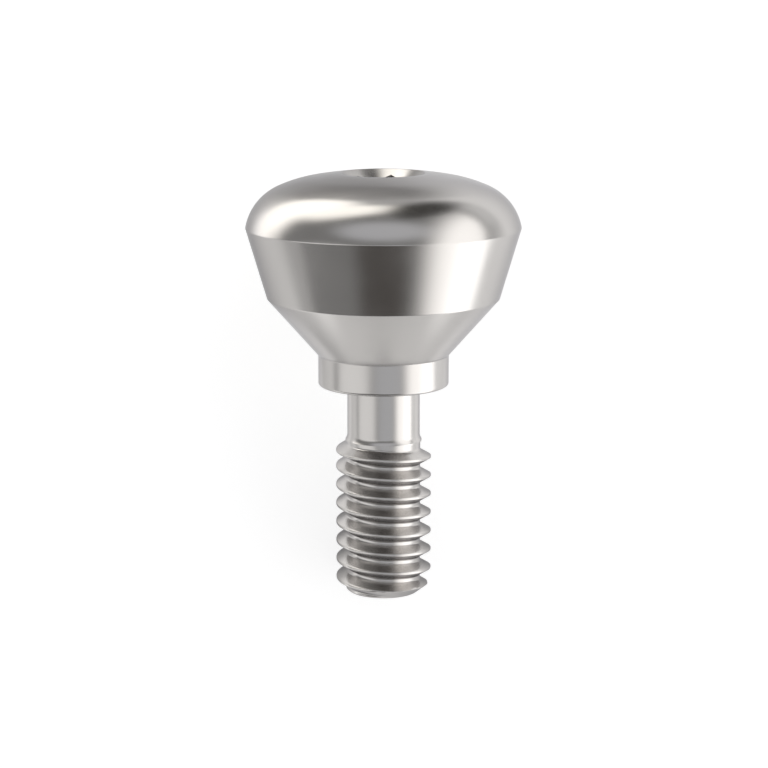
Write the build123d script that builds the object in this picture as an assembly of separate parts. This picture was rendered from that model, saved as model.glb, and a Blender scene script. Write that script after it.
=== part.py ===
from build123d import *
import math
import os

# A dental healing cap: one piece of titanium, turned from bar. A domed head with a hexagon
# driver socket narrows through two cones to a short collar. Below the collar a thin neck
# carries a small metric thread with a chamfered end.
# The cap is drawn upright on its own axis, with height 0 at the seat under the collar, the
# head above it and the screw below it. Its front faces -Y. It is then laid on its back, as
# it comes to rest on a table, where it touches down at the rim of the head and at the last
# crest of the thread. Lengths are in millimetres and angles in degrees.

# Collar that sits in the implant, and the neck below it
collar_diameter = 2.73
collar_height = 0.645
collar_edge_round = 0.06
neck_diameter = 1.52
neck_length = 1.03

# Head: a lower cone, an upper cone, and the rim where the dome starts
cone_break_diameter = 4.845
cone_break_round = 0.05
lower_cone_height = 1.202
rim_diameter = 5.716
rim_round = 0.05
upper_cone_height = 1.466

# Dome: three arcs that run on from each other, from the rim in to the socket. The lean is
# how far the first arc starts off upright, and each turn is how far an arc bends.
rim_lean = 10.0
shoulder_radius = 1.12
shoulder_turn = 56.0
blend_radius = 2.87
blend_turn = 14.2
crown_radius = 8.98

# Hexagon socket for the driver, with a countersunk mouth and a drilled bottom. The corner
# turn is how far one corner stands off the cap's back.
socket_across_flats = 1.27
socket_depth = 2.0
socket_corner_turn = 12.6
mouth_diameter = 1.74
mouth_angle = 90.0
drill_point_angle = 118.0

# Lip where the neck flares out above the thread
lip_diameter = 1.60
lip_flare = 0.125
lip_height = 0.03

# Thread. Its hand is the one that the cap shows: seen from the front, with the head up, the
# ridges fall from left to right. The crest height is where the first one crosses the front.
thread_diameter = 2.0
thread_pitch = 0.4
thread_depth = 0.2275
thread_flank_angle = 30.0
thread_crest_width = 0.05
thread_root_round = 0.05
thread_left_handed = True
first_crest_below_seat = 1.432

# The first turn fades in behind: a flat that touches the root cuts it down to nothing
fade_azimuth = 225.0
fade_length = 0.19

# Free end: a chamfer, a flat face and the small nub left where the cap was parted off
end_face_below_seat = 4.438
end_face_diameter = 1.458
end_chamfer_angle = 52.5
nub_diameter = 0.74
nub_length = 0.109
nub_side_angle = 20.0

# How far a cutting shape runs past what it cuts, and how deep a joined shape sits in the next
cutter_overrun = 0.6
joined_depth = 0.05

# Where the front is, as an angle round the upright axis, and which way the thread climbs
front_angle = -90
climb_turn = -1 if thread_left_handed else 1

# Radii and heights that follow from the sizes above
rim_height = collar_height + lower_cone_height + upper_cone_height
crest_radius = thread_diameter / 2
root_radius = crest_radius - thread_depth
lip_bottom = -neck_length - lip_flare - lip_height
end_face = -end_face_below_seat
thread_bottom = end_face - cutter_overrun


def tangent(angle):
    """The step by one tangent of an angle, for a slope drawn in a half section."""
    return math.tan(math.radians(angle))


def turned(section):
    """Turn a half section, a face in (radius, height), about the cap's upright axis."""
    return revolve(Plane.XZ * section, Axis.Z)


def turned_polygon(*corners):
    """Turn a half section with straight sides about the cap's upright axis."""
    return turned(make_face(Polyline(*corners, close=True)))


def rounded_corner(section, radius, height, corner_round):
    """Round the one corner of a half section that lies at this radius and height."""
    corner = section.vertices().sort_by_distance((radius, height))[0]
    return fillet(corner, corner_round)


def dome_arcs():
    """The three arcs of the dome, from the rim inward and up, as (radius, height)."""
    start = math.radians(90 + rim_lean)
    shoulder = JernArc(
        (rim_diameter / 2, rim_height), (math.cos(start), math.sin(start)),
        shoulder_radius, shoulder_turn,
    )
    blend = JernArc(shoulder @ 1, shoulder % 1, blend_radius, blend_turn)
    # The crown runs on to half the mouth's radius, where the socket cuts its middle away
    crown_slope = 90 - rim_lean - shoulder_turn - blend_turn
    run_in = (blend @ 1).X - mouth_diameter / 4
    end_slope = math.degrees(
        math.asin(math.sin(math.radians(crown_slope)) - run_in / crown_radius)
    )
    crown = JernArc(blend @ 1, blend % 1, crown_radius, crown_slope - end_slope)
    return [shoulder, blend, crown]


def mouth_height():
    """Height of the crown where the mouth of the socket cuts it."""
    centre = dome_arcs()[-1].arc_center
    return centre.Y + math.sqrt(crown_radius**2 - (mouth_diameter / 2 - centre.X) ** 2)


def head_and_neck():
    """All that lies above the thread, turned from one half section, without the socket."""
    arcs = dome_arcs()
    top = arcs[-1] @ 1
    collar_radius = collar_diameter / 2
    break_radius = cone_break_diameter / 2
    break_height = collar_height + lower_cone_height
    rim_radius = rim_diameter / 2
    lip_radius = lip_diameter / 2
    lip_rise = (lip_diameter - neck_diameter) / 2
    flare_radius = (lip_flare**2 + lip_rise**2) / (2 * lip_rise)
    flare_start = (neck_diameter / 2, -neck_length)
    flare_end = (lip_radius, -neck_length - lip_flare)
    core = Polyline(
        (top.X, top.Y), (0, top.Y), (0, lip_bottom), (lip_radius, lip_bottom), flare_end
    )
    flare = RadiusArc(flare_start, flare_end, -flare_radius)
    side = Polyline(
        flare_start, (neck_diameter / 2, 0), (collar_radius, 0), (collar_radius, collar_height),
        (break_radius, break_height), (rim_radius, rim_height),
    )
    section = make_face(Curve() + [core, flare, side] + arcs)
    section = rounded_corner(section, collar_radius, 0, collar_edge_round)
    section = rounded_corner(section, break_radius, break_height, cone_break_round)
    section = rounded_corner(section, rim_radius, rim_height, rim_round)
    return turned(section)


def driver_socket():
    """The space of the socket: hexagon, drill point below it and countersunk mouth."""
    mouth = mouth_height()
    bottom = mouth - socket_depth
    drill_radius = socket_across_flats / 2
    mouth_radius = mouth_diameter / 2
    hexagon = RegularPolygon(drill_radius, 6, major_radius=False)
    corner_angle = -front_angle - socket_corner_turn
    hexagon = Pos(0, 0, bottom) * Rot(Z=corner_angle) * hexagon
    drill_point = turned_polygon(
        (0, bottom - drill_radius / tangent(drill_point_angle / 2)),
        (drill_radius, bottom), (0, bottom),
    )
    countersink = turned_polygon(
        (0, mouth - mouth_radius / tangent(mouth_angle / 2)),
        (mouth_radius + cutter_overrun * tangent(mouth_angle / 2), mouth + cutter_overrun),
        (0, mouth + cutter_overrun),
    )
    return extrude(hexagon, socket_depth + cutter_overrun) + drill_point + countersink


def ridge_section():
    """The thread's ridge in section, as (radius, height off the middle of its crest)."""
    half_crest = thread_crest_width / 2
    spread = tangent(thread_flank_angle)
    # A round leads each flank into the root, which it reaches just inside the core
    root_turn = 90 - thread_flank_angle
    root_line = root_radius - thread_root_round * (1 - math.cos(math.radians(root_turn / 3)))
    reach = thread_root_round * tangent(root_turn / 2)
    foot = half_crest + (crest_radius - root_line) * spread
    up_flank = reach * math.cos(math.radians(thread_flank_angle))
    flank_end = (root_line + up_flank, foot - up_flank * spread)
    root_end = (root_line, foot + reach)
    inside = root_line - joined_depth
    upper_half = [
        Line((crest_radius, half_crest), flank_end),
        RadiusArc(flank_end, root_end, thread_root_round),
        Line(root_end, (inside, root_end[1])),
    ]
    lower_half = [mirror(edge, Plane.XZ) for edge in upper_half]
    crest = Line((crest_radius, -half_crest), (crest_radius, half_crest))
    back = Line((inside, -root_end[1]), (inside, root_end[1]))
    return make_face(Curve() + upper_half + lower_half + [crest, back])


def thread_ridge():
    """The helical ridge, from below the free end up to where it fades out behind."""
    top = -first_crest_below_seat + thread_pitch * fade_azimuth / 360
    turns = math.ceil((top - thread_bottom) / thread_pitch)
    bottom = top - turns * thread_pitch
    path = Helix(
        thread_pitch, top - bottom, crest_radius, center=(0, 0, bottom),
        lefthand=thread_left_handed,
    )
    ridge = sweep(Plane.XZ * Pos(0, bottom) * ridge_section(), path, is_frenet=True)
    # The turns are whole, so the ridge starts and ends at one azimuth, behind
    end_angle = front_angle + climb_turn * fade_azimuth
    size = 2 * thread_diameter
    on_plane = (Align.CENTER, Align.CENTER, Align.MIN)
    above_lip = Pos(0, 0, lip_bottom) * Box(size, size, size, align=on_plane)
    flat = Box(size, thread_diameter, size, align=(Align.MIN, Align.CENTER, Align.MIN))
    fade = Rot(Z=end_angle) * Pos(root_radius, 0, lip_bottom - fade_length) * flat
    return Rot(Z=end_angle) * ridge - (above_lip + fade)


def past_the_end():
    """All that the free end's chamfer and flat face cut away."""
    end_radius = end_face_diameter / 2
    outer = crest_radius + cutter_overrun
    low = thread_bottom - cutter_overrun - thread_pitch
    rise = (outer - end_radius) / tangent(end_chamfer_angle)
    return turned_polygon(
        (0, end_face), (end_radius, end_face), (outer, end_face + rise), (outer, low), (0, low)
    )


def nub():
    """The shallow nub on the end face, which starts inside it."""
    radius = nub_diameter / 2
    tip_radius = radius - nub_length * tangent(nub_side_angle)
    start = end_face + joined_depth
    tip = end_face - nub_length
    return turned_polygon(
        (0, start), (radius, start), (radius, end_face), (tip_radius, tip), (0, tip)
    )


def screw():
    """The threaded end, from the underside of the lip to the nub."""
    on_end = (Align.CENTER, Align.CENTER, Align.MIN)
    core = Cylinder(root_radius, lip_bottom - thread_bottom, align=on_end)
    return Pos(0, 0, thread_bottom) * core + thread_ridge() - past_the_end() + nub()


def resting_tilt():
    """Angle between the cap's axis and the table: the slope of the line that touches both
    the round of the rim and the last whole crest that the thread has behind."""
    chamfer_rise = (crest_radius - end_face_diameter / 2) / tangent(end_chamfer_angle)
    lowest = end_face + chamfer_rise + thread_crest_width / 2
    first_behind = -first_crest_below_seat - thread_pitch / 2
    last_behind = first_behind - math.floor((first_behind - lowest) / thread_pitch) * thread_pitch
    run = rim_height - last_behind + thread_crest_width / 2
    drop = rim_diameter / 2 - rim_round - crest_radius
    return math.degrees(math.atan2(drop, run) + math.asin(rim_round / math.hypot(run, drop)))


# The upright cap, then the cap on its back with the head towards +Y, standing on height 0
upright = head_and_neck() - driver_socket() + screw()
lying = Rot(X=resting_tilt() - 90) * upright
box = lying.bounding_box()
healing_cap = Pos(-box.center().X, -box.center().Y, -box.min.Z) * lying

os.makedirs("parts", exist_ok=True)
export_step(healing_cap, "parts/healing_cap.step")
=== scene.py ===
import math

import bpy
import numpy as np
from mathutils import Matrix, Vector


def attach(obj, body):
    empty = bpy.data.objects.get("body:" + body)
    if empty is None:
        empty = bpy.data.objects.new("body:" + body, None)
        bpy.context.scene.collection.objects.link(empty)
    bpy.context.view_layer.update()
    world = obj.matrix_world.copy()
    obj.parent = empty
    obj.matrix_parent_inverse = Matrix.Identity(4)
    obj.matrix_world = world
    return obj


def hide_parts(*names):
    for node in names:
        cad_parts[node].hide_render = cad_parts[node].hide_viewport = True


# A dental healing cap of satin titanium, lying on its back on a pale floor. It is worked out
# upright, in millimetres, with height 0 at the seat under the collar and the front towards
# -Y, and then laid down as the frame has it. Angles are in degrees.

# Neck, collar, cones and rim
neck_radius = 0.76
neck_length = 1.03
neck_root_round = 0.03
collar_radius = 1.365
collar_height = 0.645
collar_edge_round = 0.06
collar_top_round = 0.02
cone_break_radius = 2.4225
lower_cone_height = 1.202
rim_radius = 2.858
upper_cone_height = 1.466
edge_round = 0.05

# Dome: lean at the rim, then radius and turn of each arc
rim_lean = 10.0
shoulder_radius = 1.12
shoulder_turn = 56.0
blend_radius = 2.87
blend_turn = 14.2
crown_radius = 8.98

# Driver socket
hexagon_half_width = 0.635
hexagon_corner_angle = 77.4
socket_depth = 2.0
mouth_radius = 0.87
countersink_slope = 0.84
mouth_edge_round = 0.02
drill_radius = 0.62
drill_point_depth = 0.38

# Lip above the thread
lip_radius = 0.80
lip_flare = 0.125
lip_height = 0.03
lip_bottom = -neck_length - lip_flare - lip_height

# Thread
crest_radius = 1.0
root_radius = 0.7725
pitch = 0.4
flank_angle = 30.0
crest_half_width = 0.025
crest_round = 0.018
root_round = 0.05
crest_height_in_front = -1.432
fade_turns = 225 / 360
fade_bottom = -1.375
fade_half_turns = 0.2
ridge_blend = 0.012

# Lead-in, where the first ridge's upper side lies lower: the whole drop, the turns from the
# ridge's start where it begins and over which it grows, how far below the crest it ends, and
# over what height it fades there
lead_in_drop = 0.075
lead_in_start = 0.1
lead_in_ease = 0.25
lead_in_foot = 0.156
lead_in_rise = 0.2

# Free end
end_height = -4.438
end_radius = 0.729
end_chamfer_angle = 52.5
nub_radius = 0.37
nub_tip_radius = 0.33
nub_length = 0.109

# How it lies: the axis rises by the tilt, and the seat's centre is here in the frame
resting_tilt = 14.161053
seat_centre = (0.0, -0.054605, 1.96228)

# Soft lights of the room: direction, how far each reaches round it, brightness and tint
wall_brightness = 0.27
room_lights = [
    ((0.0, -0.83, 0.56), (0.48, 0.4, 0.4), 0.10, (1, 0.92, 0.87)),
    ((0.0, 0.45, 0.89), (0.85, 0.45, 0.6), 0.68, (0.97, 0.985, 1.03)),
    ((0.15, -0.42, 0.9), (0.6, 0.3, 0.5), 0.68, (0.96, 0.98, 1.02)),
    ((-0.8, -0.28, 0.52), (0.85, 0.36, 0.85), 1.12, (1, 1, 1)),
    ((-0.34, 0.93, 0.12), (0.58, 0.8, 0.42), 2.0, (1, 0.98, 0.93)),
    ((0.98, -0.2, 0.1), (0.7, 1.8, 1.15), 1.8, (1, 0.99, 0.98)),
]

# Soft cards that stand round the cap: middle, bearing square to the card, lean in its own
# plane, width, height, brightness and tint. The dim one keeps light off.
cards = [
    ((-6.2, 10.7, 2.2), 154, 5, 22, 9.6, 2.3, (1, 0.98, 0.94)),
    ((4.5, 15.2, 7.5), 75, 16, 9.2, 17, 0.06, (1, 0.97, 0.92)),
    ((11.5, -4.5, 3.0), -20, 0, 15, 10, 2.2, (1, 1, 1)),
]

# The floor: its own white, the backdrop's white that is added where it is seen, and in
# reflections a dimmer ground with painted patches, bright ones painted pools of light and dim
# ones painted shadow, such as the cap's shadow under it: place, reach, brightness and tint
floor_white = 0.5
seen_white = 0.72
far_white = 0.25
reflected_light_and_shade_patches = [
    ((0, -1, 0), (24, 24, 1), 0.64, (1, 1, 1)),
    ((5, 7, 0), (8, 10.5, 1), 0.95, (1, 1, 1)),
    ((17, 18, 0), (10, 10, 1), 0.6, (1, 1, 1)),
    ((8, -6.3, 0), (4.2, 4.2, 1), 1.5, (1, 1, 1)),
    ((-8, -6.3, 0), (4.2, 4.2, 1), 1.5, (1, 1, 1)),
    ((-2.9, -2.8, 0), (1.7, 2.4, 1), 0.4, (1, 1, 1)),
    ((-2.4, -0.5, 0), (1.7, 2.4, 1), 1.1, (1, 1, 1)),
    ((2.8, -0.4, 0), (1.7, 2.4, 1), 1.1, (1, 1, 1)),
    ((0, -3, 0), (1.9, 3, 1), 0.25, (1, 1, 1)),
    ((-10.5, 5.5, 0), (5.5, 5.5, 1), 1.4, (1, 0.99, 0.96)),
    ((-1.8, 12.3, 0), (6.8, 7.5, 1), 0.0, (1, 1, 1)),
]

# Camera: where it stands by the upright cap, in front of it and above the seat, how far it
# looks down, and its lens
camera_place = (0.0105, -48.99, 9.61)
camera_pitch = 11.091
focal_length = 111.75
sensor_width = 36

# Metal: its darker and lighter tone and how close their patches lie, the tint at a flat
# angle, how close the grooves lie across, behind and along the section and their depth in
# metres, the least and most roughness, and what the thread adds to it
dark_tone = (0.528, 0.511, 0.496, 1)
light_tone = (0.558, 0.541, 0.524, 1)
tone_scale = 1.3
flat_angle_tint = (0.5, 0.5, 0.515, 1)
groove_scale = (0.5, 0.5, 24.0)
groove_depth = 2.4e-7
roughness = (0.19, 0.25)
thread_roughness = 0.03

# Steps of the surface round the axis: corners of the hexagon fall on columns. The front is
# at this angle from +X.
columns = 240
front_angle = -90

# Steps along the section: the dome's arcs, the flare of the lip, and the socket's cone
shoulder_steps = 34
blend_steps = 9
crown_steps = 6
flare_points = 9
drill_rings = 7

# Rings of the socket: the drill cone's first as a share of its radius, the wall's as shares
# of the way up, the countersink's as shares of the way out to a gap inside the mouth
first_ring_share = 0.04
wall_shares = [0.006, 0.5, 0.994, 1]
sink_shares = [0.04, 0.5, 0.96]
sink_gap = 0.01

# The mouth's edge: its middle outside the mouth, in rounds, and the turn of its rings
edge_middle_share = 0.4
edge_turn = np.linspace(130, 95, 5)

# Rings of the free end's edges: how far each lies out from the edge and up from its face
end_edge_rings = [(-0.004, 0), (-0.02, 0)]
nub_foot_rings = [(0.02, 0), (0.004, -0.002), (-0.004, -0.02)]
nub_tip_rings = [(0.006, 0.02), (-0.004, 0.003), (-0.02, 0)]
nub_middle_ring = 0.04

# Rows of the thread reach this many pitches above the lip, and points nearer than the gap to
# the lip or to the free end lie on it
row_reach = 1.01
row_gap = 1e-4

# Edges that turn by more than this are sharp
sharp_turn = 32

# A soft spot is whole out to this share of its reach
spot_core = 0.45

# A millimetre in metres
MM = 0.001


def turn_left(start, heading, radius, turn, steps):
    """Points on an arc that leaves start at a heading and turns left: its centre lies one
    radius to the left, and point a is centre + radius * (sin, -cos)(heading + a)."""
    side = math.radians(heading + 90)
    centre = np.array(start) + radius * np.array([math.cos(side), math.sin(side)])
    angle = np.radians(heading + np.linspace(0, turn, steps + 1))
    return centre + radius * np.stack([np.sin(angle), -np.cos(angle)], axis=1)


def straight(start, end, margin=0.012):
    """Points from start to end: both ends, one a margin in from each, which is a quarter of
    the length at most, and the middle."""
    start, end = np.array(start), np.array(end)
    length = np.hypot(*(end - start))
    inset = min(margin / length, 0.25)
    share = np.array([0, inset, 0.5, 1 - inset, 1])
    return start + share[:, None] * (end - start)


def rounded_line(corners, rounds, steps=6):
    """A line through corners with its inner corners rounded. Each round touches both of its
    sides at radius * tan(turn / 2) from the corner."""
    corners = [np.array(corner) for corner in corners]
    pieces = []
    last = corners[0]
    for before, corner, after, radius in zip(corners, corners[1:], corners[2:], rounds):
        arrive, leave = corner - before, after - corner
        arrive, leave = arrive / np.hypot(*arrive), leave / np.hypot(*leave)
        cross = arrive[0] * leave[1] - arrive[1] * leave[0]
        turn = math.atan2(cross, arrive @ leave)
        reach = radius * math.tan(abs(turn) / 2)
        pieces.append(straight(last, corner - reach * arrive))
        # Point a of the round is centre + radius * (cos, sin)(a), from one side to the other
        inward = np.sign(cross) * np.array([-arrive[1], arrive[0]])
        centre = corner - reach * arrive + radius * inward
        angle = math.atan2(-inward[1], -inward[0]) + turn * np.linspace(0, 1, steps + 1)[1:-1]
        pieces.append(centre + radius * np.stack([np.cos(angle), np.sin(angle)], axis=1))
        last = corner + reach * leave
    pieces.append(straight(last, corners[-1]))
    return np.concatenate(pieces)


def thinned(points, least=1e-5):
    """The same line without points that repeat the one before."""
    steps = np.hypot(*np.diff(points, axis=0).T)
    return points[np.concatenate([[True], steps > least])]


def dome_profile():
    """The dome from just above the rim to just outside the socket's mouth: a shoulder, a
    blend and a crown arc that run on from each other."""
    rim_height = collar_height + lower_cone_height + upper_cone_height
    heading = 90 + rim_lean
    rim = rim_radius, rim_height
    shoulder = turn_left(rim, heading, shoulder_radius, shoulder_turn, shoulder_steps)
    heading += shoulder_turn
    blend = turn_left(shoulder[-1], heading, blend_radius, blend_turn, blend_steps)
    heading += blend_turn
    # The crown ends where its radius from the axis has come in to the mouth
    run_in = blend[-1][0] - mouth_radius
    end = math.degrees(
        math.asin(math.sin(math.radians(180 - heading)) - run_in / crown_radius)
    )
    crown = turn_left(blend[-1], heading, crown_radius, 180 - heading - end, crown_steps)
    return shoulder, blend, crown


def outer_profile():
    """Half section, as (radius, height), from the underside of the lip to the mouth."""
    flare_rise = lip_radius - neck_radius
    flare_radius = (lip_flare**2 + flare_rise**2) / (2 * flare_rise)
    bend = np.linspace(math.asin(lip_flare / flare_radius), 0, flare_points)
    # The flare is a circle that touches the neck: radius + R (1 - cos a), height - R sin a
    flare = np.stack(
        [
            neck_radius + flare_radius * (1 - np.cos(bend)),
            -neck_length - flare_radius * np.sin(bend),
        ],
        axis=1,
    )
    lip = straight((lip_radius, lip_bottom), flare[0], margin=0.006)
    shoulder, blend, crown = dome_profile()
    break_height = collar_height + lower_cone_height
    side = rounded_line(
        [
            (neck_radius, -neck_length), (neck_radius, 0), (collar_radius, 0),
            (collar_radius, collar_height), (cone_break_radius, break_height),
            tuple(shoulder[0]), tuple(shoulder[1]),
        ],
        [neck_root_round, collar_edge_round, collar_top_round, edge_round, edge_round],
    )
    return thinned(np.concatenate([lip, flare, side, shoulder[1:], blend, crown[:-1]]))


def hexagon_outline(angle):
    """Distance from the axis to the hexagon: half width / cos(angle off a side's middle)."""
    off_middle = (angle - hexagon_corner_angle) % 60 - 30
    return hexagon_half_width / np.cos(np.radians(off_middle))


def socket_rings(angle):
    """Rings of the socket from its drill point up to the mouth, as (radius, height) rows.
    The sides run straight up to the countersink, where height falls from the mouth by the
    slope times (mouth_radius - r)."""
    mouth = dome_profile()[2][-1][1]
    bottom = mouth - socket_depth
    side = hexagon_outline(angle)
    level = np.ones_like(angle)
    point = np.linspace(first_ring_share, 1, drill_rings)[:, None]
    drilled = point * drill_radius * level, bottom - (1 - point) * drill_point_depth * level
    ledge = side[None], bottom * level[None]
    top = mouth - countersink_slope * (mouth_radius - side)
    rise = np.array(wall_shares)[:, None]
    wall = np.repeat(side[None], len(rise), axis=0), bottom + rise * (top - bottom)
    out = np.array(sink_shares)[:, None]
    sink = side + out * (mouth_radius - sink_gap - side)
    sink = sink, mouth - countersink_slope * (mouth_radius - sink)
    # The mouth's edge turns from the countersink to the crown
    turn = np.radians(edge_turn)[:, None]
    middle = mouth_radius + edge_middle_share * mouth_edge_round
    edge = (
        (middle + mouth_edge_round * np.cos(turn)) * level,
        (mouth - mouth_edge_round + mouth_edge_round * np.sin(turn)) * level,
    )
    parts = [drilled, ledge, wall, sink, edge]
    return [np.concatenate([part[i] for part in parts]) for i in range(2)]


def ridge_section(flank_steps=5, round_steps=4):
    """Half of the thread's section, as (height off the crest, radius): a flat crest, a round,
    a flank at 60 degrees to the axis, a round into the root, and the root to half a pitch."""
    steep = math.radians(90 - flank_angle)
    crest_turn = np.linspace(0, steep, round_steps)
    crest_edge = crest_half_width - crest_round * math.tan(steep / 2)
    crest = np.stack(
        [
            crest_edge + crest_round * np.sin(crest_turn),
            crest_radius - crest_round * (1 - np.cos(crest_turn)),
        ],
        axis=1,
    )
    foot = crest_half_width + (crest_radius - root_radius) * math.tan(math.radians(flank_angle))
    root_turn = np.linspace(steep, 0, round_steps + 1)
    root = np.stack(
        [
            foot + root_round * math.tan(steep / 2) - root_round * np.sin(root_turn),
            root_radius + root_round * (1 - np.cos(root_turn)),
        ],
        axis=1,
    )
    share = np.linspace(0, 1, flank_steps + 2)[1:-1, None]
    flank = crest[-1] + share * (root[0] - crest[-1])
    return np.concatenate([[(0, crest_radius)], crest, flank, root, [(pitch / 2, root_radius)]])


def lesser(first, second, blend):
    """Smooth minimum: min(a, b) - max(blend - |a - b|, 0)^2 / (4 blend)."""
    gap = np.maximum(blend - np.abs(first - second), 0)
    return np.minimum(first, second) - gap**2 / (4 * blend)


def thread_radius(height, turns, section):
    """Radius of the thread at a height and a number of turns from where it starts. The ridge
    lies where height + pitch * turns is a whole number of pitches below its start."""
    start = crest_height_in_front + pitch * fade_turns
    below = start - height - pitch * turns
    off_crest = np.abs((below + pitch / 2) % pitch - pitch / 2)
    ridge = np.interp(off_crest, section[:, 0], section[:, 1])
    ridge = np.where(below < -pitch / 2, root_radius, ridge)
    # The start is cut by a flat, to fade_half_turns either side: root radius / cos(angle
    # from the start)
    off_start = np.clip((turns + 0.5) % 1 - 0.5, -fade_half_turns, fade_half_turns)
    flat = root_radius / np.cos(2 * np.pi * off_start)
    flat = np.where(height > fade_bottom, flat, 2 * crest_radius)
    chamfer = end_radius + (height - end_height) * math.tan(math.radians(end_chamfer_angle))
    return lesser(np.minimum(ridge, flat), chamfer, ridge_blend)


def lead_in(height, turns):
    """How far the first ridge's upper side lies below its helix: the whole drop at the left
    side, falling as s^2 (3 - 2 s) to none behind and in front, and evenly to none at the
    ridge's foot."""
    foot = crest_height_in_front + pitch * (fade_turns - turns) - lead_in_foot
    room = np.minimum(fade_turns - turns, turns - lead_in_start)
    share = np.clip(room / lead_in_ease, 0, 1)
    above_foot = np.clip((height - foot) / lead_in_rise, 0, 1)
    return lead_in_drop * share**2 * (3 - 2 * share) * above_foot


def joined(rings):
    """Corner numbers of the faces between rows of point numbers, one row to the next."""
    here, there = rings[:-1], rings[1:]
    return np.stack(
        [here[:, :-1], there[:, :-1], there[:, 1:], here[:, 1:]], axis=-1
    ).reshape(-1, 4)


def closed(rings):
    """Rows of point numbers with the first column again at the end."""
    return np.concatenate([rings, rings[:, :1]], axis=1)


def cap_surface():
    """Points and triangles of the whole cap, upright. Rings run from the drill point out of
    the socket, over the dome and down to the lip, and from the free end to the nub. Between
    them the thread's rows follow its helix, height = row - pitch * turns, and are held
    between the lip and the free end."""
    step = 360 / columns
    fade_angle = front_angle - 360 * fade_turns
    first = hexagon_corner_angle + step * math.ceil((fade_angle - hexagon_corner_angle) / step)
    angle = first + step * np.arange(columns)
    turns = (angle - fade_angle) / 360

    profile = outer_profile()[::-1]
    level = np.ones(columns)
    socket_radius, socket_height = socket_rings(angle)
    head_radius = np.concatenate([socket_radius, profile[:, :1] * level])
    head_height = np.concatenate([socket_height, profile[:, 1:] * level])

    section = ridge_section()
    below_crest = np.concatenate([section[:-1, 0], pitch - section[:0:-1, 0]])
    per_pitch = len(below_crest)
    start = crest_height_in_front + pitch * fade_turns
    above = math.ceil((lip_bottom + row_reach * pitch - start) / pitch)
    pitches = above + math.ceil((start - end_height) / pitch) + 1
    row_start = start + pitch * (above - np.arange(pitches))
    rows = (row_start[:, None] - below_crest).ravel()
    height = rows[:, None] - pitch * turns
    radius = thread_radius(height, turns, section)
    lowered = height - lead_in(height, turns)
    past_lip = lowered >= lip_bottom - row_gap
    free = ~past_lip & (lowered > end_height + row_gap)

    # The lip's row takes the drop at height 0, where it is whole
    lip_drop = lead_in(np.zeros(columns), turns)
    top_radius = thread_radius(lip_bottom + lip_drop, turns, section)
    nub_height = end_height - nub_length
    end_rings = np.array(
        [(end_radius + out, end_height + up) for out, up in end_edge_rings]
        + [(nub_radius + out, end_height + up) for out, up in nub_foot_rings]
        + [(nub_tip_radius + out, nub_height + up) for out, up in nub_tip_rings]
        + [(nub_middle_ring, nub_height)]
    )

    # Number the points: head rings, thread's top ring, free thread points, end rings, poles
    head_count = head_radius.size
    head = np.arange(head_count).reshape(head_radius.shape)
    top = head_count + np.arange(columns)
    first_free = head_count + columns
    bottom = first_free + free.sum() + np.arange(columns)
    ends = bottom[-1] + 1 + np.arange(len(end_rings) * columns).reshape(-1, columns)
    thread = np.where(past_lip, top, bottom)
    thread[free] = first_free + np.arange(free.sum())
    wrapped = np.concatenate([thread[per_pitch:, 0], np.full(per_pitch, bottom[0])])
    thread = np.concatenate([thread, wrapped[:, None]], axis=1)
    drill_tip, nub_tip = ends[-1, -1] + 1, ends[-1, -1] + 2

    radii = np.concatenate(
        [
            head_radius.ravel(), top_radius, radius[free], level * end_radius,
            np.repeat(end_rings[:, 0], columns), [0, 0],
        ]
    )
    # The drill point's tip lies a share of the cone's depth below its first ring
    below_ring = first_ring_share / (1 - first_ring_share) * drill_point_depth
    tip_height = head_height[0, 0] - below_ring
    heights = np.concatenate(
        [
            head_height.ravel(), level * lip_bottom, lowered[free], level * end_height,
            np.repeat(end_rings[:, 1], columns), [tip_height, nub_height],
        ]
    )
    every_angle = np.broadcast_to(angle, height.shape)
    angles = np.radians(
        np.concatenate(
            [
                np.tile(angle, len(head)), angle, every_angle[free], angle,
                np.tile(angle, len(ends)), [0, 0],
            ]
        )
    )
    points = np.stack([radii * np.cos(angles), radii * np.sin(angles), heights], axis=1)

    tip_ring = np.full((1, columns), drill_tip)
    nub_ring = np.full((1, columns), nub_tip)
    quads = np.concatenate(
        [
            joined(closed(np.concatenate([tip_ring, head, top[None]]))),
            joined(thread),
            joined(closed(np.concatenate([bottom[None], ends, nub_ring]))),
        ]
    )
    triangles = np.concatenate([quads[:, [0, 1, 2]], quads[:, [0, 2, 3]]])
    a, b, c = triangles.T
    triangles = triangles[(a != b) & (b != c) & (c != a)]

    # Way along the surface, for the turning marks: down the head's section to 0 at the lip's
    # end, then down the axis
    along_head = np.stack([head_radius.mean(axis=1), head_height.mean(axis=1)], axis=1)
    way = np.concatenate([[0], np.cumsum(np.hypot(*np.diff(along_head, axis=0).T))])
    along = np.concatenate([np.repeat(way - way[-1], columns), lip_bottom - heights[head_count:]])
    along[drill_tip] = -way[-1]
    return points, triangles, along


def laid(points):
    """Lay upright points on the cap's back: turn them by the tilt and set the seat's centre
    in its place. Y = cos(t) z + sin(t) y and Z = sin(t) z - cos(t) y, in metres."""
    rise, run = math.sin(math.radians(resting_tilt)), math.cos(math.radians(resting_tilt))
    x, y, z = np.asarray(points, dtype=float).T
    turned = np.stack([x, run * z + rise * y, rise * z - run * y], axis=-1)
    return (turned + seat_centre) * MM


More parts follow.
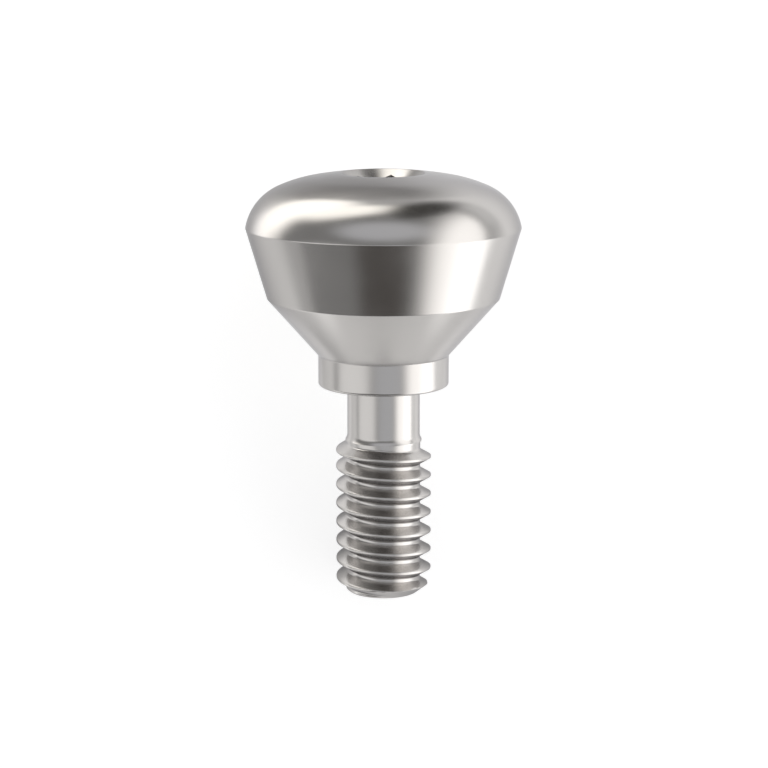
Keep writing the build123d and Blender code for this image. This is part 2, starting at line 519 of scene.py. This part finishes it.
def healing_cap():
    """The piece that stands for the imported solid, with each point's place on the turned
    surface kept as an attribute, in millimetres: across, behind, and along the section."""
    points, triangles, along = cap_surface()
    mesh = bpy.data.meshes.new("healing_cap_surface")
    # Laying the cap down mirrors nothing, so faces that point outwards still do
    mesh.from_pydata(laid(points).tolist(), [], triangles.tolist())
    mesh.update()
    mesh.polygons.foreach_set("use_smooth", np.ones(len(mesh.polygons), dtype=bool))
    mesh.set_sharp_from_angle(angle=math.radians(sharp_turn))
    turned = mesh.attributes.new("turned", "FLOAT_VECTOR", "POINT")
    place = np.stack([points[:, 0], points[:, 1], along], axis=1)
    turned.data.foreach_set("vector", place.astype(np.float32).ravel())
    piece = bpy.data.objects.new("healing_cap_surface", mesh)
    bpy.context.scene.collection.objects.link(piece)
    return piece


def new_material(name):
    """An empty node material with its output."""
    material = bpy.data.materials.new(name)
    material.use_nodes = True
    nodes = material.node_tree.nodes
    nodes.clear()
    output = nodes.new("ShaderNodeOutputMaterial")
    return material, nodes, material.node_tree.links, output


def worked_out(nodes, links, operation, *values):
    """The result of one operation, such as add or multiply, on two values, each a number or
    what another node gives."""
    node = nodes.new("ShaderNodeMath")
    node.operation = operation
    for socket, value in zip(node.inputs, values):
        if isinstance(value, float):
            socket.default_value = value
        else:
            links.new(value, socket)
    return node.outputs["Value"]


def satin_titanium():
    """Bare titanium with a fine turned finish: grooves too fine to see apart run round the
    axis, with faint bands of tool marks, and the sheen varies softly from place to place."""
    material, nodes, links, output = new_material("satin_titanium")
    metal = nodes.new("ShaderNodeBsdfPrincipled")
    metal.inputs["Metallic"].default_value = 1.0
    metal.inputs["Specular Tint"].default_value = flat_angle_tint
    links.new(metal.outputs["BSDF"], output.inputs["Surface"])

    place = nodes.new("ShaderNodeAttribute")
    place.attribute_name = "turned"

    stretch = nodes.new("ShaderNodeMapping")
    stretch.inputs["Scale"].default_value = groove_scale
    links.new(place.outputs["Vector"], stretch.inputs["Vector"])
    grooves = nodes.new("ShaderNodeTexNoise")
    grooves.inputs["Scale"].default_value = 1.0
    grooves.inputs["Detail"].default_value = 3.0
    links.new(stretch.outputs["Vector"], grooves.inputs["Vector"])
    relief = nodes.new("ShaderNodeBump")
    relief.inputs["Strength"].default_value = 1.0
    relief.inputs["Distance"].default_value = groove_depth
    links.new(grooves.outputs["Fac"], relief.inputs["Height"])
    links.new(relief.outputs["Normal"], metal.inputs["Normal"])

    soft = nodes.new("ShaderNodeTexNoise")
    soft.inputs["Scale"].default_value = tone_scale
    soft.inputs["Detail"].default_value = 3.0
    links.new(place.outputs["Vector"], soft.inputs["Vector"])
    tone = nodes.new("ShaderNodeMix")
    tone.data_type = "RGBA"
    tone.inputs["A"].default_value = dark_tone
    tone.inputs["B"].default_value = light_tone
    links.new(soft.outputs["Fac"], tone.inputs["Factor"])
    links.new(tone.outputs["Result"], metal.inputs["Base Color"])
    sheen = nodes.new("ShaderNodeMapRange")
    sheen.inputs["From Min"].default_value = 0.25
    sheen.inputs["From Max"].default_value = 0.75
    sheen.inputs["To Min"].default_value = roughness[0]
    sheen.inputs["To Max"].default_value = roughness[1]
    links.new(soft.outputs["Fac"], sheen.inputs["Value"])

    # The thread, where the way along the surface is past 0, is a little rougher than the rest
    parts = nodes.new("ShaderNodeSeparateXYZ")
    links.new(place.outputs["Vector"], parts.inputs["Vector"])
    cut = nodes.new("ShaderNodeMapRange")
    cut.inputs["From Max"].default_value = 0.05
    cut.inputs["To Max"].default_value = thread_roughness
    links.new(parts.outputs["Z"], cut.inputs["Value"])
    rough = worked_out(nodes, links, "ADD", sheen.outputs["Result"], cut.outputs["Result"])
    links.new(rough, metal.inputs["Roughness"])
    return material


def white_floor():
    """Matt white, with the backdrop's white added for what the camera sees and, for reflections,
    painted patches of light and shade, so that the cap's soft shadow stays on it: seen_white *
    camera + painted patches * reflection, which are 1 for a ray of that kind and else 0."""
    material, nodes, links, output = new_material("white_floor")
    matt = nodes.new("ShaderNodeBsdfDiffuse")
    matt.inputs["Color"].default_value = (floor_white, floor_white, floor_white, 1)
    ray = nodes.new("ShaderNodeLightPath").outputs
    seen = worked_out(nodes, links, "MULTIPLY", ray["Is Camera Ray"], seen_white)
    glossy, through = ray["Is Glossy Ray"], ray["Is Transmission Ray"]
    bounced = worked_out(nodes, links, "MAXIMUM", glossy, through)
    spot = nodes.new("ShaderNodeTexCoord")
    place = nodes.new("ShaderNodeVectorMath")
    place.operation = "SCALE"
    place.inputs["Scale"].default_value = 1 / MM
    links.new(spot.outputs["Object"], place.inputs[0])
    # Painted pools of light and painted shadow on the floor, seen only in reflections
    painted_reflection_patches = glows_on(nodes, links, place.outputs["Vector"], far_white, reflected_light_and_shade_patches)
    mirrored = worked_out(nodes, links, "MULTIPLY", bounced, painted_reflection_patches)
    backdrop = nodes.new("ShaderNodeEmission")
    strength = worked_out(nodes, links, "ADD", seen, mirrored)
    links.new(strength, backdrop.inputs["Strength"])
    both = nodes.new("ShaderNodeAddShader")
    links.new(matt.outputs["BSDF"], both.inputs[0])
    links.new(backdrop.outputs["Emission"], both.inputs[1])
    links.new(both.outputs["Shader"], output.inputs["Surface"])
    return material


def floor():
    """The level surface that the cap lies on, 1.2 m each way."""
    half = 0.6
    mesh = bpy.data.meshes.new("floor")
    corners = [(-half, -half, 0), (half, -half, 0), (half, half, 0), (-half, half, 0)]
    mesh.from_pydata(corners, [], [(0, 1, 2, 3)])
    mesh.materials.append(white_floor())
    ground = bpy.data.objects.new("floor", mesh)
    bpy.context.scene.collection.objects.link(ground)


def soft_spot(nodes, links, place, centre, reach):
    """How much of a soft spot there is at a place: 1 where |(place - centre) / reach| is
    under the core's share, falling as s^2 (3 - 2 s) to 0 where it comes to 1."""
    offset = nodes.new("ShaderNodeVectorMath")
    offset.operation = "SUBTRACT"
    offset.inputs[1].default_value = centre
    links.new(place, offset.inputs[0])
    scaled = nodes.new("ShaderNodeVectorMath")
    scaled.operation = "DIVIDE"
    scaled.inputs[1].default_value = reach
    links.new(offset.outputs["Vector"], scaled.inputs[0])
    apart = nodes.new("ShaderNodeVectorMath")
    apart.operation = "LENGTH"
    links.new(scaled.outputs["Vector"], apart.inputs[0])
    fade = nodes.new("ShaderNodeMapRange")
    fade.interpolation_type = "SMOOTHSTEP"
    fade.inputs["From Min"].default_value = 1.0
    fade.inputs["From Max"].default_value = spot_core
    fade.inputs["To Min"].default_value = 0.0
    fade.inputs["To Max"].default_value = 1.0
    links.new(apart.outputs["Value"], fade.inputs["Value"])
    return fade.outputs["Result"]


def glows_on(nodes, links, place, ground, glows):
    """Soft spots of light laid one over the next on an even ground: each takes the light so
    far towards its own by its share, light + share * (own - light)."""
    light = None
    for centre, reach, strength, tint in glows:
        mixed = nodes.new("ShaderNodeMix")
        mixed.data_type = "RGBA"
        mixed.inputs["A"].default_value = (ground, ground, ground, 1)
        mixed.inputs["B"].default_value = (*(strength * Vector(tint)), 1)
        links.new(soft_spot(nodes, links, place, centre, reach), mixed.inputs["Factor"])
        if light:
            links.new(light, mixed.inputs["A"])
        light = mixed.outputs["Result"]
    return light


def light_card(middle, bearing, lean, width, height, brightness, tint):
    """A card with soft edges that glows evenly on both sides. It stands upright and square to
    its bearing, turned in its own plane by the lean. Its corners are half its width across and
    half its height up from its middle, either way. The floor hides what is below it."""
    material, nodes, links, output = new_material("light_card")
    place = nodes.new("ShaderNodeUVMap").outputs["UV"]
    glow = nodes.new("ShaderNodeEmission")
    glow.inputs["Color"].default_value = (*tint, 1)
    glow.inputs["Strength"].default_value = brightness
    clear = nodes.new("ShaderNodeBsdfTransparent")
    edge = nodes.new("ShaderNodeMixShader")
    fade = soft_spot(nodes, links, place, (0.5, 0.5, 0), (0.5, 0.5, 1))
    links.new(fade, edge.inputs["Fac"])
    links.new(clear.outputs["BSDF"], edge.inputs[1])
    links.new(glow.outputs["Emission"], edge.inputs[2])
    links.new(edge.outputs["Shader"], output.inputs["Surface"])

    along = math.radians(bearing + 90)
    level = Vector((math.cos(along), math.sin(along), 0))
    upright = Vector((0, 0, 1))
    turn = math.radians(lean)
    across = math.cos(turn) * level - math.sin(turn) * upright
    up = math.sin(turn) * level + math.cos(turn) * upright
    shares = [(0, 0), (1, 0), (1, 1), (0, 1)]
    corners = [
        MM * (Vector(middle) + (u - 0.5) * width * across + (v - 0.5) * height * up)
        for u, v in shares
    ]
    mesh = bpy.data.meshes.new("light_card")
    mesh.from_pydata(corners, [], [(0, 1, 2, 3)])
    mesh.uv_layers.new(name="card").data.foreach_set("uv", np.ravel(shares).astype(np.float32))
    mesh.materials.append(material)
    card = bpy.data.objects.new("light_card", mesh)
    card.visible_camera = False
    bpy.context.scene.collection.objects.link(card)


def studio_world():
    """A dim grey room with soft lights in it."""
    world = bpy.data.worlds.new("studio")
    bpy.context.scene.world = world
    world.use_nodes = True
    nodes, links = world.node_tree.nodes, world.node_tree.links
    nodes.clear()
    output = nodes.new("ShaderNodeOutputWorld")
    room = nodes.new("ShaderNodeBackground")
    room.inputs["Strength"].default_value = 1.0
    links.new(room.outputs["Background"], output.inputs["Surface"])
    way = nodes.new("ShaderNodeTexCoord").outputs["Generated"]
    lights = [(Vector(light[0]).normalized(), *light[1:]) for light in room_lights]
    links.new(glows_on(nodes, links, way, wall_brightness, lights), room.inputs["Color"])


def camera():
    """A long lens in front of the cap's seat, 11 degrees above square to its axis."""
    view_pitch = math.radians(camera_pitch)
    stand = laid([camera_place])[0]
    ahead = Vector(laid([(0, math.cos(view_pitch), -math.sin(view_pitch))])[0])
    ahead = (ahead - Vector(laid([(0, 0, 0)])[0])).normalized()
    right = Vector((1, 0, 0))
    up = right.cross(ahead)
    lens = bpy.data.cameras.new("camera")
    lens.sensor_width = sensor_width
    lens.lens = focal_length
    lens.clip_start = 0.002
    lens.clip_end = 20
    holder = bpy.data.objects.new("camera", lens)
    bpy.context.scene.collection.objects.link(holder)
    turn = Matrix((right, up, -ahead)).transposed()
    holder.matrix_world = Matrix.Translation(stand) @ turn.to_4x4()
    bpy.context.scene.camera = holder


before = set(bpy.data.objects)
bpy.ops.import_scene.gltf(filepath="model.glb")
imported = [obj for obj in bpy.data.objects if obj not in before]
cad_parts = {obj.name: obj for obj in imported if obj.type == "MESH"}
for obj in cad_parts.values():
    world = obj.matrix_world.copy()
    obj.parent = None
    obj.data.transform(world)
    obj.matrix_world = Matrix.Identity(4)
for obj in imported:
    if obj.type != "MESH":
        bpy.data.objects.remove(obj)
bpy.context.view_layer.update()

cap = healing_cap()
cap.data.materials.append(satin_titanium())
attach(cap, "root")
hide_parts("healing_cap")

floor()
for card in cards:
    light_card(*card)
studio_world()
camera()
bpy.context.scene.view_settings.view_transform = "Standard"
